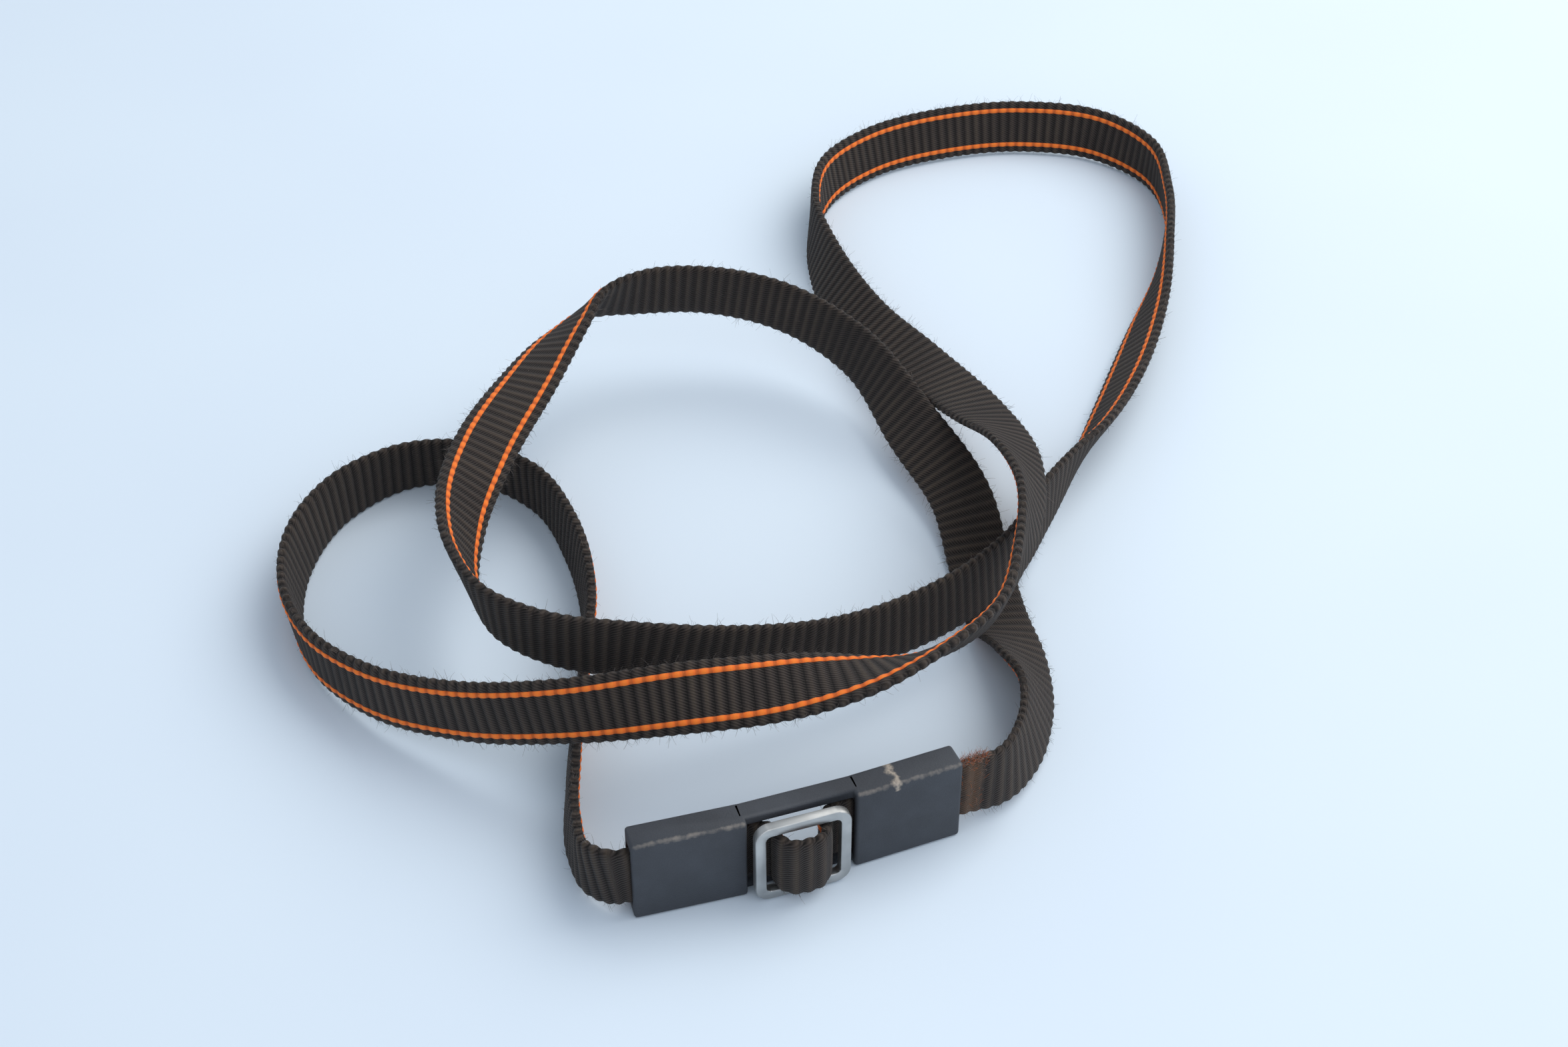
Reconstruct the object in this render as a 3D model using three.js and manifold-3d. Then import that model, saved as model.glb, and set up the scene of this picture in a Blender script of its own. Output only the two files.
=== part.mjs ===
// Camera neck strap: one closed loop of narrow ribbed webbing that lies on a table,
// both of its sides running into a moulded clip bar and out through a square metal ring.
// Millimetres, +Z up, the table at Z = 0.
import * as THREE from 'three';
import { mergeVertices } from 'three/addons/utils/BufferGeometryUtils.js';
import Module from 'manifold-3d';

// ---------- driving dimensions ----------
const WEB_WIDTH = 10.0;
const WEB_THICKNESS = 1.7;
const STATION_STEP = 2.8;

const CLIP_PLACE = { x: 1.8, y: -73.9, turn: 19.15 };
const BLOCK_LENGTH = 15.8;
const BLOCK_DEPTH = 4.2;
const BAR_HEIGHT = 14.0;
const BAR_CORNER = 0.7;
const RECESS_HALF = 7.6;
const BAR_BOW = 3.3;
const RAIL_HEIGHT = 1.7;
const RAIL_FRONT = -0.9;
const RAIL_BACK = 2.1;
const CHANNEL_HEIGHT = 10.6;
const CHANNEL_DEPTH = 2.4;

const RING_SIZE = 13.6;
const RING_WINDOW_WIDTH = 10.6;
const RING_WINDOW_HEIGHT = 10.6;
const RING_CORNER = 2.2;
const RING_WINDOW_CORNER = 0.8;
const RING_THICKNESS = 1.4;
const RING_CHAMFER = 0.15;
const RING_CENTRE = { across: -0.4, back: -3.2, height: 7.0 };

// The middle of the finished strap in the layout's own x and y, and its lowest point.
const LAYOUT_CENTRE = { x: -2.3, y: 16.63, z: -0.01 };

// ---------- the strap's route ----------
// x and y lie on the table, height is the mid-line's, roll turns the webbing about its run:
// at 0 it stands on edge with the striped face to the right of travel, at 90 that face is up.
const LEFT_RING = [
  { x: -22.6, y: -81.2, height: 6.8, roll: 0 },
  { x: -26.4, y: -78.6, height: 5.8, roll: 0 },
  { x: -28.6, y: -72.5, height: 5.2, roll: -6 },
  { x: -29.5, y: -60, height: 5.1, roll: -8 },
  { x: -29.3, y: -40, height: 5.1, roll: -8 },
  { x: -29.6, y: -24, height: 5.1, roll: -8 },
  { x: -33, y: -10, height: 5.1, roll: -7 },
  { x: -40, y: 3, height: 5.1, roll: 0 },
  { x: -50, y: 9, height: 5.1, roll: 7 },
  { x: -60, y: 8.6, height: 5.1, roll: 6 },
  { x: -69.5, y: 1.5, height: 5.1, roll: -3 },
  { x: -75, y: -12, height: 5.1, roll: -12 },
  { x: -74.6, y: -24, height: 5.1, roll: -11 },
  { x: -69.5, y: -36, height: 5.6, roll: -4 },
];
const FRONT_BAND = [
  { x: -60, y: -45.5, height: 7, roll: 2 },
  { x: -46, y: -53.5, height: 10.5, roll: 7 },
  { x: -30, y: -59.2, height: 16, roll: 16 },
  { x: -14, y: -60.6, height: 19.8, roll: 40 },
  { x: 0, y: -59.6, height: 21, roll: 66 },
  { x: 12, y: -57, height: 21.3, roll: 106 },
  { x: 20.8, y: -52.3, height: 20.6, roll: 139 },
  { x: 29, y: -43.9, height: 19.8, roll: 156 },
  { x: 33.6, y: -31.8, height: 19.2, roll: 176 },
  { x: 36.7, y: -17.2, height: 18.8, roll: 202 },
  { x: 35.9, y: -2.3, height: 16.8, roll: 236 },
  { x: 31.3, y: 13.6, height: 12, roll: 264 },
];
const FAR_LOOP = [
  { x: 21.8, y: 33.8, height: 7.4, roll: 285 },
  { x: 14.5, y: 46, height: 5.8, roll: 305 },
  { x: 7.3, y: 66, height: 5.4, roll: 335 },
  { x: 5.5, y: 81, height: 5.1, roll: 356 },
  { x: 8.6, y: 95, height: 5.1, roll: 372 },
  { x: 17, y: 104.4, height: 5.1, roll: 376 },
  { x: 31, y: 111.2, height: 5.1, roll: 378 },
  { x: 46, y: 113.6, height: 5.1, roll: 378 },
  { x: 60, y: 110.6, height: 5.1, roll: 376 },
  { x: 69.2, y: 101, height: 5.1, roll: 364 },
  { x: 71.3, y: 86, height: 5.1, roll: 354 },
  { x: 68.6, y: 69, height: 5.1, roll: 368 },
  { x: 63.3, y: 50, height: 4.8, roll: 397 },
  { x: 56.5, y: 30, height: 4.8, roll: 403 },
  { x: 50.6, y: 16, height: 5.2, roll: 390 },
  { x: 46, y: 7, height: 5.6, roll: 370 },
  { x: 41, y: -3.5, height: 6.8, roll: 356 },
];
const INNER_BAND = [
  { x: 34.5, y: -17.5, height: 8.1, roll: 352 },
  { x: 22.3, y: -30.8, height: 9, roll: 352 },
  { x: 8, y: -39.8, height: 10.5, roll: 353 },
  { x: -8, y: -45.2, height: 13.6, roll: 355 },
  { x: -22, y: -47.6, height: 16.8, roll: 357 },
  { x: -33, y: -46, height: 17.4, roll: 360 },
  { x: -42, y: -40.5, height: 17.6, roll: 367 },
  { x: -46.8, y: -31, height: 17.8, roll: 381 },
  { x: -48.3, y: -19, height: 17.8, roll: 402 },
  { x: -46.2, y: -3.5, height: 17.8, roll: 427 },
  { x: -41, y: 13.6, height: 17.6, roll: 452 },
  { x: -35.6, y: 28, height: 17.8, roll: 482 },
  { x: -31.5, y: 35.6, height: 17.8, roll: 506 },
];
const INNER_RETURN = [
  { x: -24, y: 39.6, height: 17.4, roll: 528 },
  { x: -13, y: 41.4, height: 16.6, roll: 534 },
  { x: 0, y: 39.2, height: 14.6, roll: 540 },
  { x: 11.7, y: 31.2, height: 11.6, roll: 552 },
  { x: 20.9, y: 15.9, height: 7.2, roll: 585 },
  { x: 28.2, y: 1, height: 4.4, roll: 612 },
  { x: 30.6, y: -12, height: 1.3, roll: 627 },
  { x: 32.4, y: -24, height: 1.25, roll: 634 },
  { x: 35, y: -34.5, height: 3.5, roll: 662 },
  { x: 36.4, y: -45, height: 5.1, roll: 690 },
  { x: 34.2, y: -55.6, height: 5.7, roll: 704 },
  { x: 29.8, y: -62.4, height: 6.6, roll: 714 },
  { x: 25.8, y: -64.4, height: 6.9, roll: 718 },
];
// Inside the clip, in the bar's own frame: across runs along the bar, back is away from
// its front. The webbing comes forward through the ring and goes back as the lug loop.
const THROUGH_CLIP = [
  { across: 20, back: 0.71 },
  { across: 14, back: 0.37 },
  { across: 8, back: 0.05 },
  { across: 4.7, back: -0.3 },
  { across: 3.1, back: -1.9 },
  { across: 2.9, back: -3.7 },
  { across: 1.9, back: -5.1 },
  { across: -0.4, back: -5.6 },
  { across: -2.7, back: -5.1 },
  { across: -3.7, back: -3.7 },
  { across: -3.9, back: -1.9 },
  { across: -5.5, back: -0.3 },
  { across: -8.8, back: 0.05 },
  { across: -14, back: 0.37 },
  { across: -20, back: 0.71 },
];
const FULL_ROLL = 720;

const radians = THREE.MathUtils.degToRad;

// A point of the bar's frame in the layout's x and y.
function clipToLayout(across, back) {
  const turn = radians(CLIP_PLACE.turn);
  return {
    x: CLIP_PLACE.x + across * Math.cos(turn) - back * Math.sin(turn),
    y: CLIP_PLACE.y + across * Math.sin(turn) + back * Math.cos(turn),
  };
}

// The whole closed route as four-number stations: x, y, z and roll.
function routeStations() {
  const free = [...LEFT_RING, ...FRONT_BAND, ...FAR_LOOP, ...INNER_BAND, ...INNER_RETURN];
  const clip = THROUGH_CLIP.map(({ across, back }) => {
    const spot = clipToLayout(across, back);
    return { x: spot.x, y: spot.y, height: BAR_HEIGHT / 2, roll: FULL_ROLL };
  });
  return [...free, ...clip].map((row) => [row.x, row.y, row.height, row.roll]);
}

// Distance between two stations, roll left out.
function gap(a, b) {
  return Math.hypot(a[0] - b[0], a[1] - b[1], a[2] - b[2]);
}

// One smooth closed curve through the stations, stepped evenly between them. The roll
// starts again at zero after a whole number of turns, so a wrapped row has it moved.
function smoothRoute(rows) {
  const count = rows.length;
  const at = (index) => {
    const wraps = Math.floor(index / count);
    const row = rows[index - wraps * count];
    return [row[0], row[1], row[2], row[3] + wraps * FULL_ROLL];
  };
  const out = [];
  for (let i = 0; i < count; i += 1) {
    const [p0, p1, p2, p3] = [at(i - 1), at(i), at(i + 1), at(i + 2)];
    const [d0, d1, d2] = [gap(p0, p1), gap(p1, p2), gap(p2, p3)];
    const steps = Math.max(2, Math.round(d1 / STATION_STEP));
    for (let k = 0; k < steps; k += 1) {
      const t = k / steps;
      out.push(p1.map((_, c) => {
        const before = (p1[c] - p0[c]) / d0;
        const here = (p2[c] - p1[c]) / d1;
        const after = (p3[c] - p2[c]) / d2;
        const m1 = d1 * (before * d1 + here * d0) / (d0 + d1);
        const m2 = d1 * (here * d2 + after * d1) / (d1 + d2);
        const t2 = t * t;
        const t3 = t2 * t;
        return (2 * t3 - 3 * t2 + 1) * p1[c] + (t3 - 2 * t2 + t) * m1
          + (3 * t2 - 2 * t3) * p2[c] + (t3 - t2) * m2;
      }));
    }
  }
  return out;
}

// The webbing: its rectangular section carried round the route, turned by the roll.
function webbingGeometry() {
  const route = smoothRoute(routeStations());
  const count = route.length;
  const up = new THREE.Vector3(0, 0, 1);
  const places = [];
  for (let i = 0; i < count; i += 1) {
    const centre = new THREE.Vector3(...route[i].slice(0, 3));
    const next = new THREE.Vector3(...route[(i + 1) % count].slice(0, 3));
    const last = new THREE.Vector3(...route[(i + count - 1) % count].slice(0, 3));
    const along = next.sub(last).normalize();
    const rise = up.clone().addScaledVector(along, -along.z).normalize();
    const left = rise.clone().cross(along);
    const roll = radians(route[i][3]);
    const across = rise.clone().multiplyScalar(Math.cos(roll)).addScaledVector(left, Math.sin(roll));
    const face = rise.multiplyScalar(Math.sin(roll)).addScaledVector(left, -Math.cos(roll));
    for (const [w, t] of [[1, 1], [-1, 1], [-1, -1], [1, -1]]) {
      const corner = centre.clone()
        .addScaledVector(across, w * WEB_WIDTH / 2)
        .addScaledVector(face, t * WEB_THICKNESS / 2);
      places.push(corner.x, corner.y, corner.z);
    }
  }
  const faces = [];
  for (let i = 0; i < count; i += 1) {
    const here = i * 4;
    const there = ((i + 1) % count) * 4;
    for (let c = 0; c < 4; c += 1) {
      const d = (c + 1) % 4;
      faces.push(here + c, there + d, there + c);
      faces.push(here + c, here + d, there + d);
    }
  }
  const geometry = new THREE.BufferGeometry();
  geometry.setAttribute('position', new THREE.Float32BufferAttribute(places, 3));
  geometry.setIndex(faces);
  return geometry;
}

// ---------- joining and cutting ----------
const wasm = await Module();
wasm.setup();

function toSolid(geometry) {
  const bare = geometry.clone();
  bare.deleteAttribute('normal');
  bare.deleteAttribute('uv');
  const merged = mergeVertices(bare, 1e-4);
  return new wasm.Manifold(new wasm.Mesh({
    numProp: 3,
    vertProperties: new Float32Array(merged.attributes.position.array),
    triVerts: new Uint32Array(merged.index.array),
  }));
}

function fromSolid(solid) {
  const mesh = solid.getMesh();
  const geometry = new THREE.BufferGeometry();
  geometry.setAttribute('position', new THREE.Float32BufferAttribute(mesh.vertProperties, 3));
  geometry.setIndex(Array.from(mesh.triVerts));
  return geometry;
}

// A rectangle with round corners, its middle at the origin.
function roundedRectangle(width, height, corner, PathClass = THREE.Shape) {
  const x = width / 2;
  const y = height / 2;
  const path = new PathClass();
  path.moveTo(-x + corner, -y);
  path.lineTo(x - corner, -y);
  path.absarc(x - corner, -y + corner, corner, -Math.PI / 2, 0);
  path.lineTo(x, y - corner);
  path.absarc(x - corner, y - corner, corner, 0, Math.PI / 2);
  path.lineTo(-x + corner, y);
  path.absarc(-x + corner, y - corner, corner, Math.PI / 2, Math.PI);
  path.lineTo(-x, -y + corner);
  path.absarc(-x + corner, -y + corner, corner, Math.PI, Math.PI * 1.5);
  return path;
}

// A box from its lowest corner to its highest, in the bar's frame.
function boxBetween(low, high) {
  const size = high.map((value, axis) => value - low[axis]);
  const middle = high.map((value, axis) => (value + low[axis]) / 2);
  return new THREE.BoxGeometry(...size).translate(...middle);
}

// One end block of the bar, solid, with its long edges rounded. It starts inside the
// recess's end and swings back by the bow; side is -1 for the left block, 1 for the right.
function blockGeometry(side) {
  const profile = roundedRectangle(BLOCK_DEPTH, BAR_HEIGHT, BAR_CORNER);
  const block = new THREE.ExtrudeGeometry(profile, {
    depth: BLOCK_LENGTH, bevelEnabled: false, curveSegments: 3,
  });
  block.rotateY(Math.PI / 2);
  block.rotateX(Math.PI / 2);
  return swing(block, side);
}

// Turns a piece that starts at the origin and runs along +X into one block's place.
function swing(geometry, side) {
  if (side < 0) {
    geometry.rotateZ(Math.PI);
  }
  geometry.rotateZ(side * radians(BAR_BOW));
  geometry.translate(side * RECESS_HALF, 0, BAR_HEIGHT / 2);
  return geometry;
}

// The webbing's slot through one block, a little longer than the block.
function channelGeometry(side) {
  const spare = 1;
  const slot = new THREE.BoxGeometry(BLOCK_LENGTH + 2 * spare, CHANNEL_DEPTH, CHANNEL_HEIGHT);
  slot.translate(BLOCK_LENGTH / 2, 0, 0);
  return swing(slot, side);
}

// The bar: two blocks joined by a top and a bottom rail that stand back from the front.
function barGeometry() {
  const joint = 1.2;
  const reach = RECESS_HALF + joint;
  const rails = [[0, RAIL_HEIGHT], [BAR_HEIGHT - RAIL_HEIGHT, BAR_HEIGHT]];
  let bar = toSolid(blockGeometry(-1)).add(toSolid(blockGeometry(1)));
  for (const [bottom, top] of rails) {
    bar = bar.add(toSolid(boxBetween([-reach, RAIL_FRONT, bottom], [reach, RAIL_BACK, top])));
  }
  for (const side of [-1, 1]) {
    bar = bar.subtract(toSolid(channelGeometry(side)));
  }
  return fromSolid(bar);
}

// The square ring: a flat frame with round outer corners, its edges slightly broken.
function ringGeometry() {
  const outline = roundedRectangle(RING_SIZE - 2 * RING_CHAMFER, RING_SIZE - 2 * RING_CHAMFER, RING_CORNER);
  outline.holes.push(roundedRectangle(
    RING_WINDOW_WIDTH + 2 * RING_CHAMFER,
    RING_WINDOW_HEIGHT + 2 * RING_CHAMFER,
    RING_WINDOW_CORNER,
    THREE.Path,
  ));
  const ring = new THREE.ExtrudeGeometry(outline, {
    depth: RING_THICKNESS - 2 * RING_CHAMFER,
    bevelEnabled: true,
    bevelThickness: RING_CHAMFER,
    bevelSize: RING_CHAMFER,
    bevelSegments: 1,
    curveSegments: 5,
  });
  ring.translate(0, 0, RING_CHAMFER - RING_THICKNESS / 2);
  ring.rotateX(Math.PI / 2);
  ring.translate(RING_CENTRE.across, RING_CENTRE.back, RING_CENTRE.height);
  return ring;
}

// ---------- the assembly ----------
const finishes = {
  webbing: new THREE.MeshStandardMaterial({ color: 0x2b2625, roughness: 0.92, metalness: 0 }),
  bar: new THREE.MeshStandardMaterial({ color: 0x45484f, roughness: 0.55, metalness: 0 }),
  ring: new THREE.MeshStandardMaterial({ color: 0xb9b9bb, roughness: 0.35, metalness: 1 }),
};

function named(name, geometry, finish) {
  const mesh = new THREE.Mesh(geometry, finish);
  mesh.name = name;
  return mesh;
}

const clip = new THREE.Group();
clip.add(named('clip_bar', barGeometry(), finishes.bar));
clip.add(named('lug_ring', ringGeometry(), finishes.ring));
clip.rotation.z = radians(CLIP_PLACE.turn);
clip.position.set(CLIP_PLACE.x, CLIP_PLACE.y, 0);

const strap = new THREE.Group();
strap.add(named('strap_webbing', webbingGeometry(), finishes.webbing));
strap.add(clip);
strap.position.set(-LAYOUT_CENTRE.x, -LAYOUT_CENTRE.y, -LAYOUT_CENTRE.z);

export default strap;
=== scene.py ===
"""Looks of the camera neck strap: ribbed webbing, its stripes and fuzz, the clip and the ring.

Lengths are in metres in the CAD frame. The strap's route is the CAD part's own, repeated in
metres, so that each visual piece lies inside the solid it stands for.
"""

import logging
import math
import random
from dataclasses import dataclass
from enum import Enum
from typing import NamedTuple

import bpy
from mathutils import Matrix, Vector


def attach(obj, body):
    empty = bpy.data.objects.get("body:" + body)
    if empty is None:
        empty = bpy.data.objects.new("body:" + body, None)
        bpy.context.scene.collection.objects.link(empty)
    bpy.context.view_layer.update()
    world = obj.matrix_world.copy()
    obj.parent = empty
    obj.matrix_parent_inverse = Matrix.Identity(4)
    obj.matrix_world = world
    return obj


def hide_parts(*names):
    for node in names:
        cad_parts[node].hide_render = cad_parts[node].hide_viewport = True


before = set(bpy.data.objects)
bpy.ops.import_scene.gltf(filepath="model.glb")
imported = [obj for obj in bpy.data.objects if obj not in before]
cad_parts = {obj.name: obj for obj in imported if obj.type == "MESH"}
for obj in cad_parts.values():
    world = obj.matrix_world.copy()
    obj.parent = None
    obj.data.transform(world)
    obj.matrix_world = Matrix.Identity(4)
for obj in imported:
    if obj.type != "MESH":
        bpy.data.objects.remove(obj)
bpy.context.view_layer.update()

log = logging.getLogger("strap")
MM = 0.001


class Station(NamedTuple):
    """One row of the strap's route: a point of its mid-line and the webbing's roll."""

    x: float
    y: float
    height: float
    roll: float


class ClipPoint(NamedTuple):
    """One row of the strap's run through the clip, in the bar's own frame."""

    across: float
    back: float


# The strap's route, one row a station: x, y and mid-line height in metres, roll in degrees.
LEFT_RING = (
    Station(-0.0226, -0.0812, 0.0068, 0),
    Station(-0.0264, -0.0786, 0.0058, 0),
    Station(-0.0286, -0.0725, 0.0052, -6),
    Station(-0.0295, -0.06, 0.0051, -8),
    Station(-0.0293, -0.04, 0.0051, -8),
    Station(-0.0296, -0.024, 0.0051, -8),
    Station(-0.033, -0.01, 0.0051, -7),
    Station(-0.04, 0.003, 0.0051, 0),
    Station(-0.05, 0.009, 0.0051, 7),
    Station(-0.06, 0.0086, 0.0051, 6),
    Station(-0.0695, 0.0015, 0.0051, -3),
    Station(-0.075, -0.012, 0.0051, -12),
    Station(-0.0746, -0.024, 0.0051, -11),
    Station(-0.0695, -0.036, 0.0056, -4),
)
FRONT_BAND = (
    Station(-0.06, -0.0455, 0.007, 2),
    Station(-0.046, -0.0535, 0.0105, 7),
    Station(-0.03, -0.0592, 0.016, 16),
    Station(-0.014, -0.0606, 0.0198, 40),
    Station(0.0, -0.0596, 0.021, 66),
    Station(0.012, -0.057, 0.0213, 106),
    Station(0.0208, -0.0523, 0.0206, 139),
    Station(0.029, -0.0439, 0.0198, 156),
    Station(0.0336, -0.0318, 0.0192, 176),
    Station(0.0367, -0.0172, 0.0188, 202),
    Station(0.0359, -0.0023, 0.0168, 236),
    Station(0.0313, 0.0136, 0.012, 264),
)
FAR_LOOP = (
    Station(0.0218, 0.0338, 0.0074, 285),
    Station(0.0145, 0.046, 0.0058, 305),
    Station(0.0073, 0.066, 0.0054, 335),
    Station(0.0055, 0.081, 0.0051, 356),
    Station(0.0086, 0.095, 0.0051, 372),
    Station(0.017, 0.1044, 0.0051, 376),
    Station(0.031, 0.1112, 0.0051, 378),
    Station(0.046, 0.1136, 0.0051, 378),
    Station(0.06, 0.1106, 0.0051, 376),
    Station(0.0692, 0.101, 0.0051, 364),
    Station(0.0713, 0.086, 0.0051, 354),
    Station(0.0686, 0.069, 0.0051, 368),
    Station(0.0633, 0.05, 0.0048, 397),
    Station(0.0565, 0.03, 0.0048, 403),
    Station(0.0506, 0.016, 0.0052, 390),
    Station(0.046, 0.007, 0.0056, 370),
    Station(0.041, -0.0035, 0.0068, 356),
)
INNER_BAND = (
    Station(0.0345, -0.0175, 0.0081, 352),
    Station(0.0223, -0.0308, 0.009, 352),
    Station(0.008, -0.0398, 0.0105, 353),
    Station(-0.008, -0.0452, 0.0136, 355),
    Station(-0.022, -0.0476, 0.0168, 357),
    Station(-0.033, -0.046, 0.0174, 360),
    Station(-0.042, -0.0405, 0.0176, 367),
    Station(-0.0468, -0.031, 0.0178, 381),
    Station(-0.0483, -0.019, 0.0178, 402),
    Station(-0.0462, -0.0035, 0.0178, 427),
    Station(-0.041, 0.0136, 0.0176, 452),
    Station(-0.0356, 0.028, 0.0178, 482),
    Station(-0.0315, 0.0356, 0.0178, 506),
)
INNER_RETURN = (
    Station(-0.024, 0.0396, 0.0174, 528),
    Station(-0.013, 0.0414, 0.0166, 534),
    Station(0.0, 0.0392, 0.0146, 540),
    Station(0.0117, 0.0312, 0.0116, 552),
    Station(0.0209, 0.0159, 0.0072, 585),
    Station(0.0282, 0.001, 0.0044, 612),
    Station(0.0306, -0.012, 0.0013, 627),
    Station(0.0324, -0.024, 0.00125, 634),
    Station(0.035, -0.0345, 0.0035, 662),
    Station(0.0364, -0.045, 0.0051, 690),
    Station(0.0342, -0.0556, 0.0057, 704),
    Station(0.0298, -0.0624, 0.0066, 714),
    Station(0.0258, -0.0644, 0.0069, 718),
)
THROUGH_CLIP = (
    ClipPoint(0.02, 0.00071),
    ClipPoint(0.014, 0.00037),
    ClipPoint(0.008, 0.00005),
    ClipPoint(0.0047, -0.0003),
    ClipPoint(0.0031, -0.0019),
    ClipPoint(0.0029, -0.0037),
    ClipPoint(0.0019, -0.0051),
    ClipPoint(-0.0004, -0.0056),
    ClipPoint(-0.0027, -0.0051),
    ClipPoint(-0.0037, -0.0037),
    ClipPoint(-0.0039, -0.0019),
    ClipPoint(-0.0055, -0.0003),
    ClipPoint(-0.0088, 0.00005),
    ClipPoint(-0.014, 0.00037),
    ClipPoint(-0.02, 0.00071),
)
FULL_ROLL = 720.0
LAYOUT_CENTRE = Vector((-0.0023, 0.01663, -0.00001))


# ---------------------------------------------------------------- sizes


@dataclass(frozen=True)
class WebbingSize:
    """Real sizes of the webbing, in metres."""

    width: float = 10.0 * MM
    thickness: float = 1.7 * MM
    rib_pitch: float = 1.78 * MM
    steps_per_rib: int = 6
    section_points: int = 18
    rib_depth: float = 0.24
    scallop: float = 0.035


@dataclass(frozen=True)
class StripeSize:
    """Real sizes of the two coloured stripes woven into one face."""

    offset: float = 0.33
    width: float = 1.0 * MM
    rise: float = 0.10 * MM
    points: int = 5


@dataclass(frozen=True)
class FuzzSize:
    """How many loose fibres stand out of the webbing, and how long and thick they are."""

    edge_fibres: int = 6400
    face_fibres: int = 2200
    worn_fibres: int = 900
    length: float = 1.2 * MM
    thickness: float = 0.026 * MM


@dataclass(frozen=True)
class ClipSize:
    """Real sizes of the clip bar and the ring, the same as the CAD part's."""

    x: float = 1.8 * MM
    y: float = -73.9 * MM
    turn: float = 19.15
    block_length: float = 15.8 * MM
    block_depth: float = 4.2 * MM
    height: float = 14.0 * MM
    recess_half: float = 7.6 * MM
    bow: float = 3.3
    rail_height: float = 1.7 * MM
    rail_front: float = -0.9 * MM
    rail_back: float = 2.1 * MM
    channel_height: float = 10.6 * MM
    channel_depth: float = 2.4 * MM
    edge_round: float = 0.5 * MM


@dataclass(frozen=True)
class RingSize:
    """Real sizes of the square ring."""

    size: float = 13.6 * MM
    window: float = 10.6 * MM
    corner: float = 2.2 * MM
    thickness: float = 1.4 * MM
    edge_round: float = 0.16 * MM
    across: float = -0.4 * MM
    back: float = -3.2 * MM
    height: float = 7.0 * MM


class Side(Enum):
    """Which end block of the bar is meant, as a sign along the bar."""

    LEFT = -1
    RIGHT = 1


# ---------------------------------------------------------------- the route


class Route:
    """The strap's closed mid-line with its frame at even steps."""

    def __init__(self, clip: ClipSize, step: float) -> None:
        """Builds the route.

        Args:
            clip: Sizes and place of the clip the strap runs through.
            step: Distance between neighbouring samples, in metres.
        """
        self.clip = clip
        self.centres: list[Vector] = []
        self.acrosses: list[Vector] = []
        self.faces: list[Vector] = []
        self.tangents: list[Vector] = []
        self.arc: list[float] = []
        self._sample(step)
        self.length = self.arc[-1] + (self.centres[0] - self.centres[-1]).length

    def _stations(self) -> list[tuple[float, float, float, float]]:
        """Lists the whole closed route.

        Returns:
            Rows of x, y, z and roll.
        """
        free = LEFT_RING + FRONT_BAND + FAR_LOOP + INNER_BAND + INNER_RETURN
        rows = [tuple(row) for row in free]
        for point in THROUGH_CLIP:
            x, y = clip_to_layout(self.clip, point.across, point.back)
            rows.append((x, y, self.clip.height / 2, FULL_ROLL))
        return rows

    def _sample(self, step: float) -> None:
        """Runs one smooth curve through the stations and sets a frame at each sample."""
        rows = self._stations()
        count = len(rows)

        def at(index: int) -> tuple[float, float, float, float]:
            wraps, inner = divmod(index, count)
            x, y, z, roll = rows[inner]
            return (x, y, z, roll + wraps * FULL_ROLL)

        fine: list[tuple[float, ...]] = []
        for i in range(count):
            spans = [at(i - 1), at(i), at(i + 1), at(i + 2)]
            fine.extend(hermite_span(spans, 40))
        dense = [Vector(p[:3]) for p in fine]
        travelled = [0.0]
        for a, b in zip(dense, dense[1:] + dense[:1]):
            travelled.append(travelled[-1] + (b - a).length)
        total = travelled[-1]
        samples = round(total / step)
        j = 0
        for k in range(samples):
            want = total * k / samples
            while travelled[j + 1] < want:
                j += 1
            share = (want - travelled[j]) / max(travelled[j + 1] - travelled[j], 1e-9)
            nxt = (j + 1) % len(fine)
            roll_b = fine[nxt][3] + (FULL_ROLL if nxt == 0 else 0.0)
            roll = math.radians(fine[j][3] * (1 - share) + roll_b * share)
            here = dense[j].lerp(dense[nxt], share) - LAYOUT_CENTRE
            along = (dense[(nxt + 2) % len(dense)] - dense[j - 2]).normalized()
            rise = (Vector((0, 0, 1)) - along * along.z).normalized()
            left = rise.cross(along)
            self.centres.append(here)
            self.tangents.append(along)
            self.acrosses.append(rise * math.cos(roll) + left * math.sin(roll))
            self.faces.append(rise * math.sin(roll) - left * math.cos(roll))
            self.arc.append(want)

    def place(self, index: int, across: float, face: float) -> Vector:
        """Finds a point of the webbing.

        Args:
            index: Sample number; it wraps round.
            across: Distance from the mid-line along the width, in metres.
            face: Distance from the mid-line towards the striped face, in metres.

        Returns:
            The point in the CAD frame.
        """
        i = index % len(self.centres)
        return self.centres[i] + self.acrosses[i] * across + self.faces[i] * face


def clip_to_layout(clip: ClipSize, across: float, back: float) -> tuple[float, float]:
    """Turns a point of the bar's frame into the layout's x and y."""
    turn = math.radians(clip.turn)
    x = clip.x + across * math.cos(turn) - back * math.sin(turn)
    y = clip.y + across * math.sin(turn) + back * math.cos(turn)
    return x, y


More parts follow.
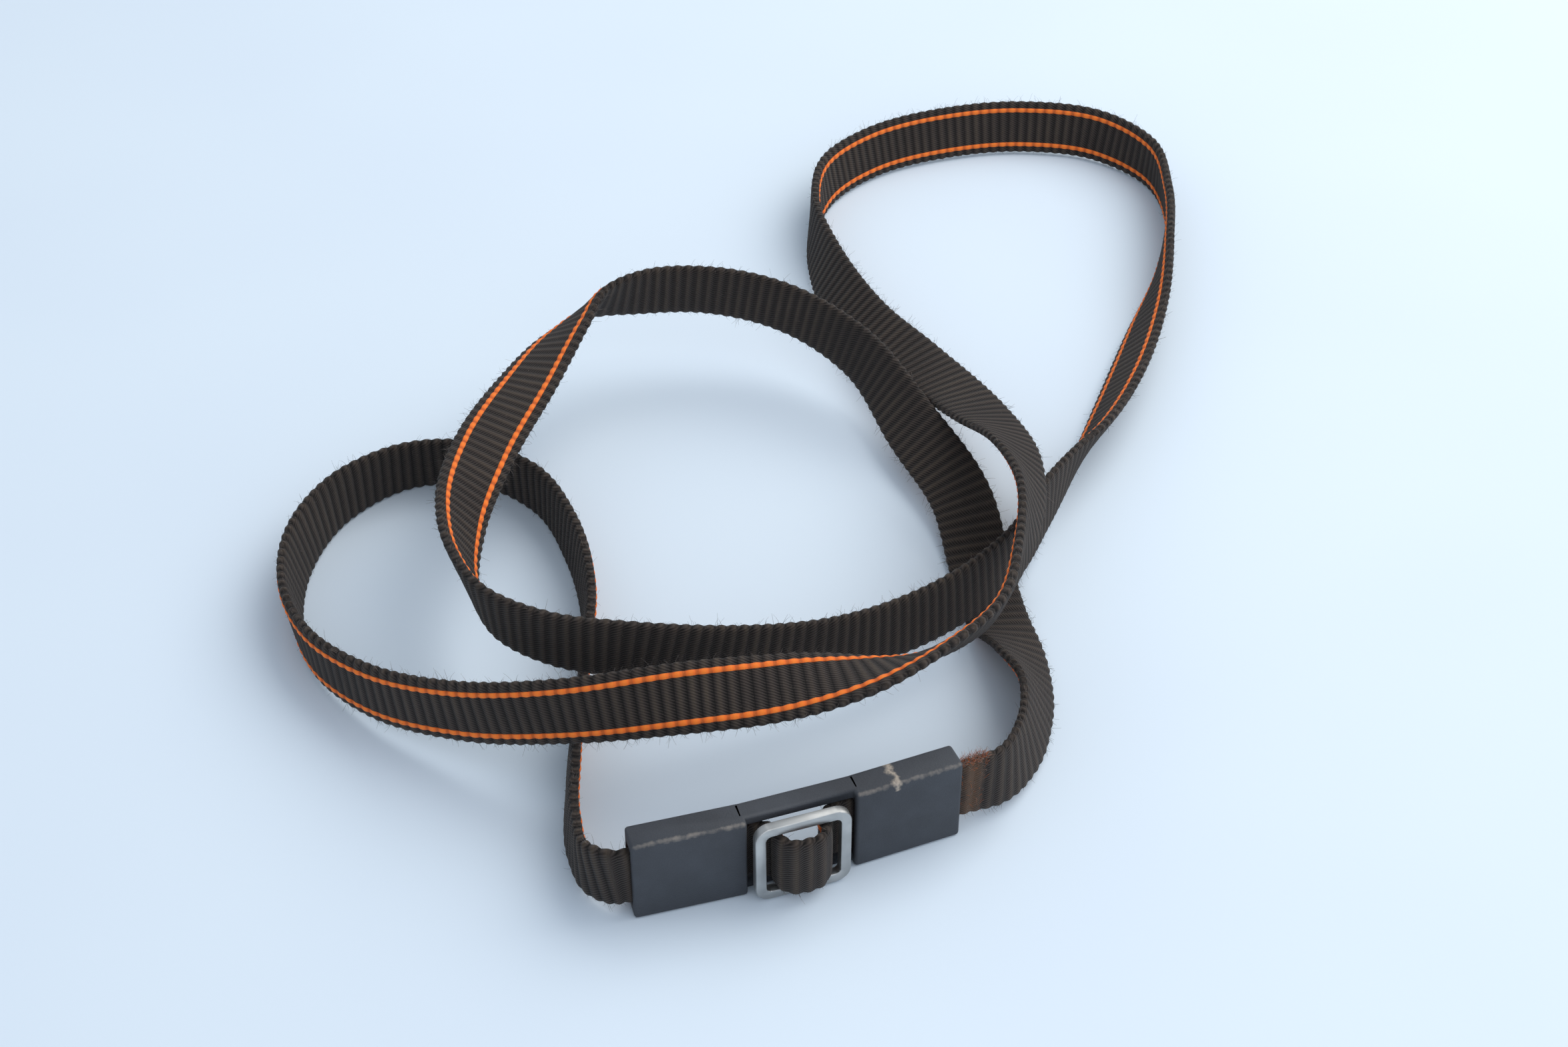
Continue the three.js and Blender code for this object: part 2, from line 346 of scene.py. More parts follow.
def hermite_span(
    points: list[tuple[float, float, float, float]], steps: int
) -> list[tuple[float, ...]]:
    """Samples the smooth curve between the middle two of four stations.

    Args:
        points: Four neighbouring stations.
        steps: Number of samples, the far end left out.

    Returns:
        Rows of x, y, z and roll.
    """
    p0, p1, p2, p3 = points
    d0, d1, d2 = (math.dist(a[:3], b[:3]) for a, b in ((p0, p1), (p1, p2), (p2, p3)))
    out = []
    for k in range(steps):
        t = k / steps
        row = []
        for c in range(4):
            before = (p1[c] - p0[c]) / d0
            here = (p2[c] - p1[c]) / d1
            after = (p3[c] - p2[c]) / d2
            m1 = d1 * (before * d1 + here * d0) / (d0 + d1)
            m2 = d1 * (here * d2 + after * d1) / (d1 + d2)
            t2, t3 = t * t, t**3
            value = (2 * t3 - 3 * t2 + 1) * p1[c] + (t3 - 2 * t2 + t) * m1
            row.append(value + (3 * t2 - 2 * t3) * p2[c] + (t3 - t2) * m2)
        out.append(tuple(row))
    return out


# ---------------------------------------------------------------- materials


def colour(code: str, alpha: float = 1.0) -> tuple[float, float, float, float]:
    """Turns a hex sRGB colour into the linear values the shaders take."""
    parts = [int(code[i : i + 2], 16) / 255 for i in (1, 3, 5)]
    linear = [c / 12.92 if c <= 0.04045 else ((c + 0.055) / 1.055) ** 2.4 for c in parts]
    return (*linear, alpha)


@dataclass(frozen=True)
class Finish:
    """What a surface is made of, in colours and shader constants."""

    name: str
    dark: str
    light: str
    roughness: float
    metallic: float = 0.0
    sheen: float = 0.0
    gloss: float = 0.5
    grain: float = 1.0 * MM
    bump: float = 0.2


# Polyester webbing, woven: matt brown-black yarn, with a painted highlight on each rib crest and painted shade
# between the ribs.
WEBBING = Finish("polyester webbing woven", "#0d0a09", "#5a504a", 0.9, sheen=0.06, gloss=0.25, grain=0.35 * MM, bump=0.55)
# Polyester stripe yarn, dyed a saturated orange, with painted shade between the ribs and a painted highlight on
# their tops.
STRIPE = Finish("polyester yarn dyed orange", "#b8480f", "#ff8a35", 0.8, sheen=0.05, gloss=0.25, grain=0.25 * MM)
# Polyester fibre, frayed: single hairs from black to pale brown that catch the light.
FIBRE = Finish("polyester fibre frayed", "#1a1615", "#8d8078", 0.75, grain=2.0 * MM)
# ABS moulded: dark grey, fine-grained, rubbed pale along its front edges.
BAR = Finish("ABS moulded", "#303237", "#5a5d63", 0.6, gloss=0.4, grain=0.16 * MM, bump=0.3)
# Nickel-plated steel, tumbled: a soft even shine with faint scratches.
RING = Finish("nickel-plated steel tumbled", "#a9a9a8", "#c6c6c4", 0.42, 1.0, grain=0.6 * MM, bump=0.05)
# Matt paper board: a pale, faintly blue sweep with no gloss.
FLOOR = Finish("paper board matt", "#dde8f3", "#dfeaf4", 0.9, grain=60 * MM, bump=0.0)


class Shader:
    """A principled material under construction, with a few short ways to add nodes."""

    def __init__(self, finish: Finish) -> None:
        """Starts the material.

        Args:
            finish: The colours and constants it takes.
        """
        self.finish = finish
        self.material = bpy.data.materials.new(finish.name)
        self.material.use_nodes = True
        self.tree = self.material.node_tree
        self.shade = self.tree.nodes["Principled BSDF"]
        self.shade.inputs["Metallic"].default_value = finish.metallic
        self.shade.inputs["Roughness"].default_value = finish.roughness
        self.shade.inputs["Sheen Weight"].default_value = finish.sheen
        self.shade.inputs["Specular IOR Level"].default_value = finish.gloss
        self.where = self.node("ShaderNodeTexCoord").outputs["Object"]

    def node(self, kind: str, **values: object) -> bpy.types.Node:
        """Adds one node, sets its properties and sockets, and links sockets given as outputs."""
        made = self.tree.nodes.new(kind)
        for key, value in values.items():
            name = key.replace("_", " ")
            if hasattr(made, key) and name not in made.inputs:
                setattr(made, key, value)
            elif isinstance(value, bpy.types.NodeSocket):
                self.tree.links.new(value, made.inputs[name])
            else:
                made.inputs[name].default_value = value
        return made

    def noise(self, size: float, detail: float = 3.0) -> bpy.types.NodeSocket:
        """Adds a noise pattern with features of a real size in metres."""
        made = self.node("ShaderNodeTexNoise", Vector=self.where, Scale=1 / size, Detail=detail)
        return made.outputs["Fac"]

    def ramp(self, value: bpy.types.NodeSocket, stops: list[tuple[float, str]]) -> bpy.types.NodeSocket:
        """Adds a colour ramp."""
        made = self.node("ShaderNodeValToRGB", Fac=value)
        band = made.color_ramp
        while len(band.elements) < len(stops):
            band.elements.new(0.5)
        for element, (position, code) in zip(band.elements, stops):
            element.position = position
            element.color = colour(code)
        return made.outputs["Color"]

    def attribute(self, name: str) -> bpy.types.Node:
        """Adds a node that reads one of the mesh's own attributes."""
        return self.node("ShaderNodeAttribute", attribute_name=name)

    def maths(self, operation: str, a: object, b: object = 0.0) -> bpy.types.NodeSocket:
        """Adds one sum, product, power or comparison."""
        made = self.tree.nodes.new("ShaderNodeMath")
        made.operation = operation
        for socket, value in zip(made.inputs, (a, b)):
            if isinstance(value, bpy.types.NodeSocket):
                self.tree.links.new(value, socket)
            else:
                socket.default_value = value
        return made.outputs[0]

    def blend(self, share: object, a: object, b: object, mode: str = "MIX") -> bpy.types.NodeSocket:
        """Blends two colours, each a hex code or another node's output."""
        made = self.tree.nodes.new("ShaderNodeMix")
        made.data_type = "RGBA"
        made.blend_type = mode
        for socket, value in ((made.inputs[0], share), (made.inputs[6], a), (made.inputs[7], b)):
            if isinstance(value, bpy.types.NodeSocket):
                self.tree.links.new(value, socket)
            else:
                socket.default_value = colour(value) if isinstance(value, str) else value
        return made.outputs[2]

    def close(self, base: bpy.types.NodeSocket, height: bpy.types.NodeSocket | None) -> bpy.types.Material:
        """Links the base colour and the bump, and hands the material over."""
        self.tree.links.new(base, self.shade.inputs["Base Color"])
        if height is not None:
            bump = self.node(
                "ShaderNodeBump", Height=height, Strength=self.finish.bump, Distance=0.0002
            )
            self.tree.links.new(bump.outputs["Normal"], self.shade.inputs["Normal"])
        return self.material


def webbing_material(finish: Finish) -> bpy.types.Material:
    """Makes the woven webbing: painted shade between the ribs and a painted highlight on top of each."""
    shader = Shader(finish)
    rib = shader.attribute("rib").outputs["Fac"]
    worn = shader.attribute("worn").outputs["Fac"]
    strands = shader.noise(finish.grain, 4.0)
    patches = shader.noise(9 * MM, 2.0)
    weave = shader.attribute("weave").outputs["Vector"]
    apart = shader.node("ShaderNodeSeparateXYZ", Vector=weave)
    slant = shader.maths("MULTIPLY", apart.outputs[1], 0.5)
    yarns = shader.maths("SINE", shader.maths("MULTIPLY", shader.maths("ADD", apart.outputs[0], slant), 15.0))
    yarns = shader.maths("MULTIPLY", shader.maths("ADD", yarns, 1.0), 0.5)
    seam = shader.maths("POWER", shader.maths("ABSOLUTE", shader.maths("SINE", apart.outputs[2])), 0.35)
    relief = shader.maths("MULTIPLY", yarns, seam)
    # Painted light: each rib crest is lightened as a painted highlight and each groove darkened as painted
    # shade.
    rib_highlight = shader.maths("MULTIPLY", rib, shader.maths("ADD", shader.maths("MULTIPLY", patches, 0.9), 0.35))
    base = shader.ramp(rib_highlight, [(0.05, finish.dark), (0.5, "#2a2320"), (0.95, "#43392f")])
    base = shader.blend(shader.maths("MULTIPLY", relief, 0.42), base, finish.light)
    flecks = shader.maths("MULTIPLY", shader.maths("GREATER_THAN", strands, 0.66), 0.25)
    base = shader.blend(flecks, base, finish.light)
    rubbed = shader.maths("SUBTRACT", shader.maths("MULTIPLY", worn, 1.6), shader.noise(1.2 * MM, 4.0))
    rubbed = shader.maths("MINIMUM", shader.maths("MAXIMUM", rubbed, 0.0), 0.85)
    base = shader.blend(rubbed, base, "#5e4838")
    height = shader.maths("ADD", relief, shader.maths("MULTIPLY", strands, 0.4))
    return shader.close(base, height)


def stripe_material(finish: Finish) -> bpy.types.Material:
    """Makes the orange stripe yarn, with painted shade in the dips between its stitches and a painted highlight
    on each stitch.
    """
    shader = Shader(finish)
    rib = shader.attribute("rib").outputs["Fac"]
    strands = shader.noise(finish.grain, 4.0)
    # Painted light: the stitch tops are lightened as a painted highlight and the dips between them darkened as
    # painted shade.
    base = shader.ramp(rib, [(0.0, "#a8430f"), (0.4, "#e8631a"), (1.0, "#f57a24")])
    base = shader.blend(shader.maths("MULTIPLY", strands, 0.3), base, "#ffa05a")
    return shader.close(base, strands)


def fibre_material(finish: Finish) -> bpy.types.Material:
    """Makes the loose fibres: a shade for each hair from its own attribute."""
    shader = Shader(finish)
    tone = shader.attribute("tone").outputs["Fac"]
    base = shader.ramp(
        tone, [(0.0, finish.dark), (0.55, "#3a3330"), (0.8, finish.light), (0.9, "#c0632c")]
    )
    return shader.close(base, None)


def bar_material(finish: Finish) -> bpy.types.Material:
    """Makes the moulded bar: fine grain, pale rubbed edges and a scuff on its right block."""
    shader = Shader(finish)
    bar = shader.attribute("bar_frame").outputs["Vector"]
    apart = shader.node("ShaderNodeSeparateXYZ", Vector=bar)
    along, back, high = (apart.outputs[i] for i in range(3))
    grain = shader.noise(finish.grain, 5.0)
    patches = shader.noise(5 * MM, 3.0)
    base = shader.ramp(patches, [(0.3, finish.dark), (0.7, "#393c42")])
    base = shader.blend(shader.maths("MULTIPLY", grain, 0.25), base, finish.light)
    near_front = shader.maths("MULTIPLY", shader.maths("ADD", back, 2.1), 1.6)
    near_top = shader.maths("MULTIPLY", shader.maths("SUBTRACT", 14.0, high), 1.6)
    from_edge = shader.maths("ADD", near_front, near_top)
    ragged = shader.maths("SUBTRACT", shader.maths("MULTIPLY", shader.noise(0.9 * MM, 5.0), 1.7), from_edge)
    ragged = shader.maths("MULTIPLY", ragged, 0.9)
    ragged = shader.maths("MINIMUM", shader.maths("MAXIMUM", ragged, 0.0), 0.55)
    base = shader.blend(ragged, base, "#8f867d")
    wander = shader.maths("MULTIPLY", shader.noise(1.3 * MM, 4.0), 2.6)
    middle = shader.maths("ABSOLUTE", shader.maths("SUBTRACT", shader.maths("ADD", along, wander), 14.9))
    scuff = shader.maths("MULTIPLY", shader.maths("SUBTRACT", 0.75, middle), 1.2)
    scuff = shader.maths("MULTIPLY", scuff, shader.maths("GREATER_THAN", high, 12.6))
    scuff = shader.maths("MULTIPLY", scuff, shader.maths("MULTIPLY", shader.noise(0.3 * MM, 6.0), 1.5))
    scuff = shader.maths("MINIMUM", shader.maths("MAXIMUM", scuff, 0.0), 0.6)
    base = shader.blend(scuff, base, "#c9b9a6")
    return shader.close(base, grain)


def ring_material(finish: Finish) -> bpy.types.Material:
    """Makes the plated ring: nearly even metal with faint tumbling marks."""
    shader = Shader(finish)
    grain = shader.noise(finish.grain, 5.0)
    patches = shader.noise(4 * MM, 2.0)
    base = shader.ramp(patches, [(0.25, finish.dark), (0.75, finish.light)])
    rough = shader.maths("ADD", shader.maths("MULTIPLY", grain, 0.18), finish.roughness - 0.05)
    shader.tree.links.new(rough, shader.shade.inputs["Roughness"])
    return shader.close(base, grain)


def floor_material(finish: Finish) -> bpy.types.Material:
    """Makes the pale sweep the strap lies on."""
    shader = Shader(finish)
    base = shader.ramp(shader.noise(finish.grain, 1.0), [(0.3, finish.dark), (0.7, finish.light)])
    return shader.close(base, None)


# ---------------------------------------------------------------- mesh help


def mesh_object(
    name: str,
    points: list[Vector],
    faces: list[tuple[int, ...]],
    material: bpy.types.Material,
    attributes: dict[str, list[float]],
) -> bpy.types.Object:
    """Makes a smooth-shaded object from points and faces.

    Args:
        name: The piece's name.
        points: Its points in the CAD frame.
        faces: Its faces as rows of point numbers.
        material: Its one material.
        attributes: One number, or three in a row, a point for each named attribute.

    Returns:
        The new object, at the origin.
    """
    mesh = bpy.data.meshes.new(name)
    mesh.from_pydata([tuple(p) for p in points], [], faces)
    for key, values in attributes.items():
        if len(values) == 3 * len(points):
            mesh.attributes.new(key, "FLOAT_VECTOR", "POINT").data.foreach_set("vector", values)
        else:
            mesh.attributes.new(key, "FLOAT", "POINT").data.foreach_set("value", values)
    mesh.materials.append(material)
    mesh.shade_smooth()
    made = bpy.data.objects.new(name, mesh)
    bpy.context.collection.objects.link(made)
    log.info("%s: %d faces", name, len(faces))
    return made


def signed_power(value: float, power: float) -> float:
    """Raises the size of a number to a power and keeps its sign."""
    return math.copysign(abs(value) ** power, value)


# ---------------------------------------------------------------- the strap


class Webbing:
    """The woven strap: its ribbed body, the stripes on one face and the loose fibres."""

    def __init__(self, size: WebbingSize, stripes: StripeSize, fuzz: FuzzSize, clip: ClipSize) -> None:
        """Sets the strap up.

        Args:
            size: The webbing's own sizes.
            stripes: The stripes' sizes.
            fuzz: Counts and sizes of the loose fibres.
            clip: The clip the strap runs through.
        """
        self.size = size
        self.stripes = stripes
        self.fuzz = fuzz
        self.clip = clip
        self.route = Route(clip, size.rib_pitch / size.steps_per_rib)
        self.random = random.Random(11)

    def rib(self, index: int) -> float:
        """Gives the height of the rib pattern, from 0 in a groove to 1 on a crest."""
        total = len(self.route.centres)
        ribs = round(total / self.size.steps_per_rib)
        phase = 2 * math.pi * ribs * (index % total) / total
        return 0.5 + 0.5 * math.cos(phase)

    def half_thickness(self, rib: float) -> float:
        """Gives half the webbing's thickness where the rib pattern has this height."""
        share = 1 - self.size.rib_depth * (1 - rib**0.6)
        return self.size.thickness / 2 * share

    def half_width(self, rib: float) -> float:
        """Gives half the webbing's width where the rib pattern has this height."""
        return self.size.width / 2 * (1 - self.size.scallop * (1 - rib**0.7))

    def worn(self, index: int) -> float:
        """Gives how rubbed the webbing is: most beside the clip's right mouth."""
        x, y = clip_to_layout(self.clip, 25.6 * MM, 0.9 * MM)
        spot = Vector((x, y, self.clip.height / 2)) - LAYOUT_CENTRE
        away = (self.route.centres[index] - spot).length
        return max(0.0, 1 - away / (3.0 * MM))

    def build_body(self) -> bpy.types.Object:
        """Makes the ribbed band itself."""
        total = len(self.route.centres)
        ring = self.size.section_points
        points: list[Vector] = []
        ribs: list[float] = []
        wear: list[float] = []
        weave: list[float] = []
        for i in range(total):
            rib = self.rib(i)
            thick = self.half_thickness(rib)
            wide = self.half_width(rib)
            worn = self.worn(i)
            for k in range(ring):
                angle = 2 * math.pi * k / ring
                across = signed_power(math.cos(angle), 0.5) * wide
                face = signed_power(math.sin(angle), 0.45) * thick
                points.append(self.route.place(i, across, face))
                ribs.append(rib)
                wear.append(worn)
                along = self.route.arc[i] / MM
                turns = math.pi * (i / self.size.steps_per_rib + 0.5)
                weave.extend((across / MM, along, turns))
        faces = []
        for i in range(total):
            here = i * ring
            there = (i + 1) % total * ring
            for k in range(ring):
                n = (k + 1) % ring
                faces.append((here + k, here + n, there + n, there + k))
        made = mesh_object(
            "webbing_band",
            points,
            faces,
            webbing_material(WEBBING),
            {"rib": ribs, "worn": wear, "weave": weave},
        )
        outward(made)
        return made

    def build_stripes(self) -> bpy.types.Object:
        """Makes both stripes: low ropes of stitches that follow the ribs of one face."""
        total = len(self.route.centres)
        n = self.stripes.points
        points: list[Vector] = []
        ribs: list[float] = []
        faces = []
        for side in (-1, 1):
            start = len(points)
            for i in range(total):
                rib = self.rib(i)
                middle = side * self.stripes.offset * self.size.width
                low = self.half_thickness(0.45 + 0.55 * rib) - 0.16 * MM
                high = (0.16 * MM + self.stripes.rise) * (0.72 + 0.28 * rib**0.5)
                half = self.stripes.width / 2 * (0.8 + 0.2 * rib)
                for k in range(n):
                    angle = math.pi * k / (n - 1)
                    face = low + math.sin(angle) * high
                    points.append(self.route.place(i, middle - math.cos(angle) * half, face))
                    ribs.append(rib)
            for i in range(total):
                here = start + i * n
                there = start + (i + 1) % total * n
                for k in range(n):
                    m = (k + 1) % n
                    faces.append((here + k, there + k, there + m, here + m))
        made = mesh_object(
            "webbing_stripes", points, faces, stripe_material(STRIPE), {"rib": ribs}
        )
        outward(made)
        return made

    def build_fuzz(self) -> bpy.types.Object:
        """Makes the loose fibres: short curved hairs along the edges and over the faces."""
        pick = self.random
        points: list[Vector] = []
        faces: list[tuple[int, ...]] = []
        tones: list[float] = []
        total = len(self.route.centres)

        def hair(root: Vector, out: Vector, lean: Vector, reach: float, tone: float) -> None:
            start = len(points)
            side = out.cross(lean).normalized()
            for step in range(4):
                share = step / 3
                spot = root + out * (reach * share) + lean * (reach * 0.8 * share * share)
                thin = self.fuzz.thickness * (1 - 0.6 * share)
                points.append(spot + side * thin)
                points.append(spot - side * thin * 0.5 + out.cross(side) * thin * 0.87)
                points.append(spot - side * thin * 0.5 - out.cross(side) * thin * 0.87)
                tones.extend([tone] * 3)
            for step in range(3):
                a = start + step * 3
                for k in range(3):
                    m = (k + 1) % 3
                    faces.append((a + k, a + m, a + 3 + m, a + 3 + k))
            faces.append((start + 2, start + 1, start))
            faces.append((start + 9, start + 10, start + 11))

        def wander(i: int) -> Vector:
            along = self.route.tangents[i] * pick.uniform(-1, 1)
            return (along + Vector([pick.uniform(-0.6, 0.6) for _ in range(3)])).normalized()

        for _ in range(self.fuzz.edge_fibres):
            i = pick.randrange(total)
            edge = pick.choice((-1, 1))
            root = self.route.place(i, edge * self.half_width(self.rib(i)) * 0.97, 0.0)
            root = root + self.route.faces[i] * pick.uniform(-0.5, 0.5) * MM
            out = (self.route.acrosses[i] * edge + self.route.faces[i] * pick.uniform(-0.9, 0.9)).normalized()
            self._grow(hair, root, out, wander(i), pick.uniform(0.25, 1.0), pick.random() * 0.78)
        for _ in range(self.fuzz.face_fibres):
            i = pick.randrange(total)
            face = pick.choice((-1, 1))
            across = pick.uniform(-0.47, 0.47) * self.size.width
            root = self.route.place(i, across, face * self.half_thickness(self.rib(i)) * 0.9)
            out = (self.route.faces[i] * face + wander(i) * 0.8).normalized()
            self._grow(hair, root, out, wander(i), pick.uniform(0.15, 0.5), pick.random() * 0.7)
        frayed = [i for i in range(total) if self.worn(i) > 0.25]
        for _ in range(self.fuzz.worn_fibres):
            i = pick.choice(frayed)
            across = pick.choice((1, pick.uniform(-1, 1))) * self.half_width(1.0) * 0.97
            root = self.route.place(i, across, -self.half_thickness(1.0) * pick.uniform(-0.9, 0.9))
            out = (self.route.acrosses[i] * 0.7 - self.route.faces[i] * pick.uniform(-0.2, 0.9)).normalized()
            self._grow(hair, root, out, wander(i), pick.uniform(0.3, 0.9), pick.uniform(0.7, 1.0))
        return mesh_object("webbing_fuzz", points, faces, fibre_material(FIBRE), {"tone": tones})

    def _grow(self, hair, root: Vector, out: Vector, lean: Vector, share: float, tone: float) -> None:
        """Adds one hair unless it would reach into the table."""
        reach = self.fuzz.length * share
        tip = root + out * reach + lean * reach * 0.8
        if tip.z > 0.0001:
            hair(root, out, lean, reach, tone)

    def build(self) -> None:
        body = self.build_body()
        stripes = self.build_stripes()
        fuzz = self.build_fuzz()
        for piece in (body, stripes, fuzz):
            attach(piece, "root")
        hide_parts("strap_webbing")
        log.info("strap: %.1f mm round", self.route.length / MM)


def outward(piece: bpy.types.Object) -> None:
    """Turns a closed mesh's faces to look outward."""
    bpy.ops.object.select_all(action="DESELECT")
    piece.select_set(True)
    bpy.context.view_layer.objects.active = piece
    bpy.ops.object.mode_set(mode="EDIT")
    bpy.ops.mesh.select_all(action="SELECT")
    bpy.ops.mesh.normals_make_consistent(inside=False)
    bpy.ops.object.mode_set(mode="OBJECT")


# ---------------------------------------------------------------- the clip


class Clip:
    """The moulded bar with its two slotted blocks, and the square ring in front of it."""

    def __init__(self, size: ClipSize, ring: RingSize) -> None:
        """Sets the clip up.

        Args:
            size: The bar's sizes and place.
            ring: The ring's sizes and place in the bar's frame.
        """
        self.size = size
        self.ring = ring

    def box(self, low: tuple[float, float, float], high: tuple[float, float, float]) -> bpy.types.Object:
        """Adds a box between two corners, its middle as its origin."""
        bpy.ops.object.select_all(action="DESELECT")
        middle = [(a + b) / 2 for a, b in zip(low, high)]
        bpy.ops.mesh.primitive_cube_add(size=1, location=middle)
        made = bpy.context.object
        made.scale = [b - a for a, b in zip(low, high)]
        bpy.ops.object.transform_apply(location=True, rotation=True, scale=True)
        return made

    def swung(self, low: tuple, high: tuple, side: Side) -> bpy.types.Object:
        """Adds a box given along +X from a block's inner end, turned into that block's place."""
        made = self.box(low, high)
        turn = side.value * math.radians(self.size.bow) + (math.pi if side is Side.LEFT else 0.0)
        made.rotation_euler = (0, 0, turn)
        made.location = (side.value * self.size.recess_half, 0, self.size.height / 2)
        bpy.ops.object.transform_apply(location=True, rotation=True, scale=True)
        return made

    def join(self, body: bpy.types.Object, tool: bpy.types.Object, operation: str) -> None:
        """Adds or cuts one solid and removes the tool."""
        step = body.modifiers.new("join", "BOOLEAN")
        step.operation = operation
        step.object = tool
        step.solver = "EXACT"
        bpy.context.view_layer.objects.active = body
        bpy.ops.object.modifier_apply(modifier=step.name)
        bpy.data.objects.remove(tool, do_unlink=True)

    def soften(self, body: bpy.types.Object, width: float, segments: int) -> None:
        """Rounds every edge sharper than 40 degrees."""
        step = body.modifiers.new("round", "BEVEL")
        step.width = width
        step.segments = segments
        step.limit_method = "ANGLE"
        step.angle_limit = math.radians(40)
        step.harden_normals = True
        bpy.context.view_layer.objects.active = body
        bpy.ops.object.modifier_apply(modifier=step.name)

    def settle(self, piece: bpy.types.Object, name: str, material: bpy.types.Material) -> None:
        """Names a piece, stores each point's place in the bar's frame, and turns it into place."""
        piece.name = name
        mesh = piece.data
        layer = mesh.attributes.new("bar_frame", "FLOAT_VECTOR", "POINT")
        for point, value in zip(mesh.vertices, layer.data):
            value.vector = self.straight(point.co) / MM
        bpy.ops.object.select_all(action="DESELECT")
        piece.select_set(True)
        bpy.context.view_layer.objects.active = piece
        piece.rotation_euler = (0, 0, math.radians(self.size.turn))
        piece.location = Vector((self.size.x, self.size.y, 0)) - LAYOUT_CENTRE
        bpy.ops.object.transform_apply(location=True, rotation=True, scale=True)
        mesh.materials.clear()
        mesh.materials.append(material)
        mesh.shade_smooth()
        log.info("%s: %d faces", name, len(mesh.polygons))

    def straight(self, point: Vector) -> Vector:
        """Takes the bow out of a point of the bar's frame, so that its front is one plane."""
        side = math.copysign(1, point.x)
        hinge = Vector((side * self.size.recess_half, 0, 0))
        if abs(point.x) <= self.size.recess_half + 0.01 * MM:
            return point.copy()
        turn = Matrix.Rotation(-side * math.radians(self.size.bow), 3, "Z")
        return turn @ (point - hinge) + hinge

    def build_bar(self) -> bpy.types.Object:
        """Makes the bar: two blocks, two rails behind the ring and the slot through both."""
        s = self.size
        half, deep = s.height / 2, s.block_depth / 2
        bar = self.swung((0, -deep, -half), (s.block_length, deep, half), Side.LEFT)
        right = self.swung((0, -deep, -half), (s.block_length, deep, half), Side.RIGHT)
        self.soften(bar, s.edge_round, 4)
        self.soften(right, s.edge_round, 4)
        self.join(bar, right, "UNION")
        reach = s.recess_half + 1.2 * MM
        for bottom in (0.0, s.height - s.rail_height):
            rail = self.box((-reach, s.rail_front, bottom), (reach, s.rail_back, bottom + s.rail_height))
            self.soften(rail, s.edge_round, 4)
            self.join(bar, rail, "UNION")
        slot_half, slot_deep = s.channel_height / 2, s.channel_depth / 2
        for side in Side:
            low = (-1 * MM, -slot_deep, -slot_half)
            high = (s.block_length + 1 * MM, slot_deep, slot_half)
            self.join(bar, self.swung(low, high, side), "DIFFERENCE")
        self.settle(bar, "clip_bar_moulding", bar_material(BAR))
        return bar

    def build_ring(self) -> bpy.types.Object:
        """Makes the square ring with round outer corners."""
        r = self.ring
        half, thick, window = r.size / 2, r.thickness / 2, r.window / 2
        ring = self.box((-half, -thick, -half), (half, thick, half))
        self._round_corners(ring, r.corner)
        hole = self.box((-window, -2 * thick, -window), (window, 2 * thick, window))
        self._round_corners(hole, 0.8 * MM)
        self.join(ring, hole, "DIFFERENCE")
        self.soften(ring, r.edge_round, 3)
        ring.location = (r.across, r.back, r.height)
        bpy.ops.object.select_all(action="DESELECT")
        ring.select_set(True)
        bpy.ops.object.transform_apply(location=True, rotation=True, scale=True)
        self.settle(ring, "lug_ring_plated", ring_material(RING))
        return ring

    def _round_corners(self, piece: bpy.types.Object, radius: float) -> None:
        """Rounds the four edges that run through the ring's thickness."""
        bpy.ops.object.select_all(action="DESELECT")
        piece.select_set(True)
        bpy.context.view_layer.objects.active = piece
        bpy.ops.object.mode_set(mode="EDIT")
        bpy.ops.mesh.select_mode(type="EDGE")
        bpy.ops.mesh.select_all(action="DESELECT")
        bpy.ops.object.mode_set(mode="OBJECT")
        mesh = piece.data
        for edge in mesh.edges:
            a, b = (mesh.vertices[i].co for i in edge.vertices)
            edge.select = abs(a.y - b.y) > 0.5 * (b - a).length
        bpy.ops.object.mode_set(mode="EDIT")
        bpy.ops.mesh.bevel(offset=radius, segments=8, affect="EDGES")
        bpy.ops.object.mode_set(mode="OBJECT")

    def build(self) -> None:
        """Makes both pieces and puts them on the part's one body."""
        bar = self.build_bar()
        ring = self.build_ring()
        for piece, node, slot in ((bar, "clip_bar", "clip_plastic"), (ring, "lug_ring", "ring_steel")):
            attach(piece, "root")
            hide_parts(node)


# ---------------------------------------------------------------- the studio


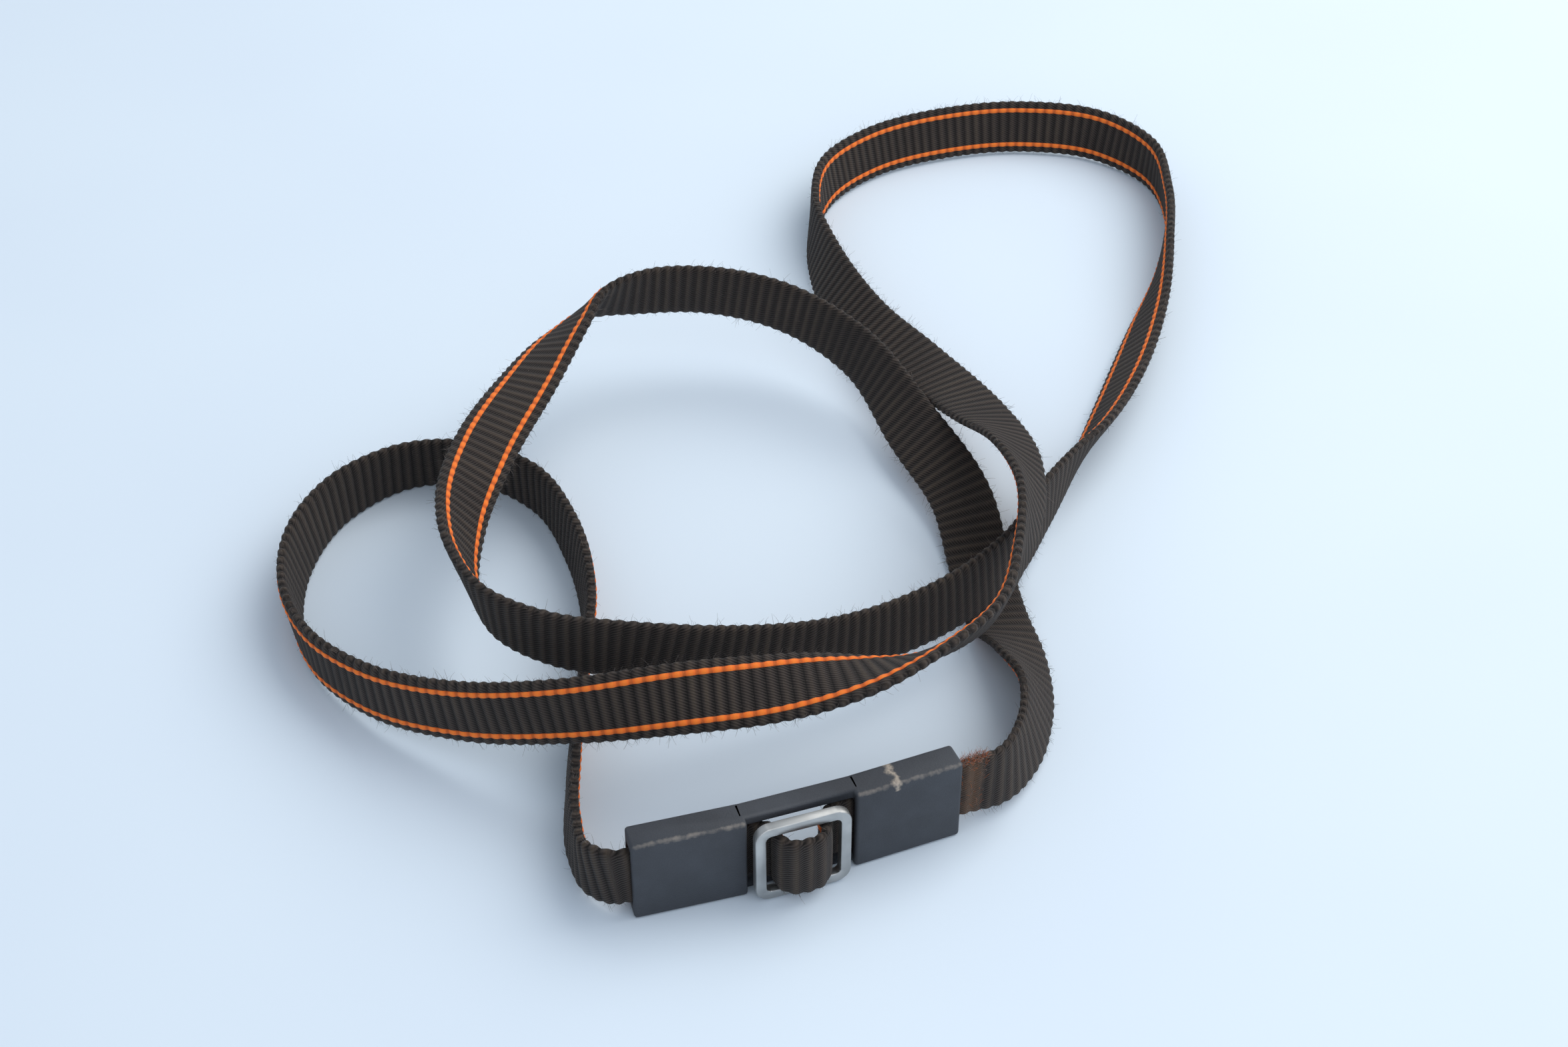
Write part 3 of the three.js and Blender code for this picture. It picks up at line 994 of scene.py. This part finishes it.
class Studio:
    """The pale sweep, the soft lights and the camera."""

    def build(self) -> None:
        """Makes the whole set."""
        self._floor()
        self._light("key", (0.42, 0.25, 0.62), 0.75, 4.3, "#fffdf8")
        self._light("fill", (0.5, -0.55, 0.5), 0.9, 2.0, "#f2f6ff")
        self._world()
        self._camera()
        bpy.context.scene.view_settings.view_transform = "Standard"

    def _floor(self) -> None:
        """Makes the sweep under the strap."""
        bpy.ops.mesh.primitive_plane_add(size=6, location=(0, 0, -0.00005))
        floor = bpy.context.object
        floor.name = "floor"
        floor.data.materials.append(floor_material(FLOOR))

    def _light(self, name: str, place: tuple, size: float, power: float, tint: str) -> None:
        """Adds one square soft light that faces the strap."""
        data = bpy.data.lights.new(name, "AREA")
        data.size = size
        data.energy = power
        data.color = colour(tint)[:3]
        lamp = bpy.data.objects.new(name, data)
        lamp.location = place
        lamp.rotation_euler = (Vector((0, 0, 0)) - Vector(place)).to_track_quat("-Z", "Y").to_euler()
        bpy.context.collection.objects.link(lamp)

    def _world(self) -> None:
        """Sets a pale blue light from all round."""
        world = bpy.data.worlds.new("studio")
        bpy.context.scene.world = world
        world.use_nodes = True
        sky = world.node_tree.nodes["Background"]
        sky.inputs["Color"].default_value = colour("#dbe6f2")
        sky.inputs["Strength"].default_value = 0.72

    def _camera(self) -> None:
        """Puts the camera in front of the clip, 40 degrees above the floor."""
        data = bpy.data.cameras.new("camera")
        data.lens = 56.7
        data.sensor_width = 36
        data.clip_start = 0.01
        camera = bpy.data.objects.new("camera", data)
        camera.location = Vector((0, -0.3026, 0.2539)) - LAYOUT_CENTRE
        camera.rotation_euler = (math.radians(50), 0, 0)
        bpy.context.collection.objects.link(camera)
        bpy.context.scene.camera = camera


def main() -> None:
    """Builds the strap, the clip and the studio in order."""
    logging.basicConfig(level=logging.INFO)
    clip = ClipSize()
    Webbing(WebbingSize(), StripeSize(), FuzzSize(), clip).build()
    Clip(clip, RingSize()).build()
    Studio().build()


if __name__ == "__main__":
    main()
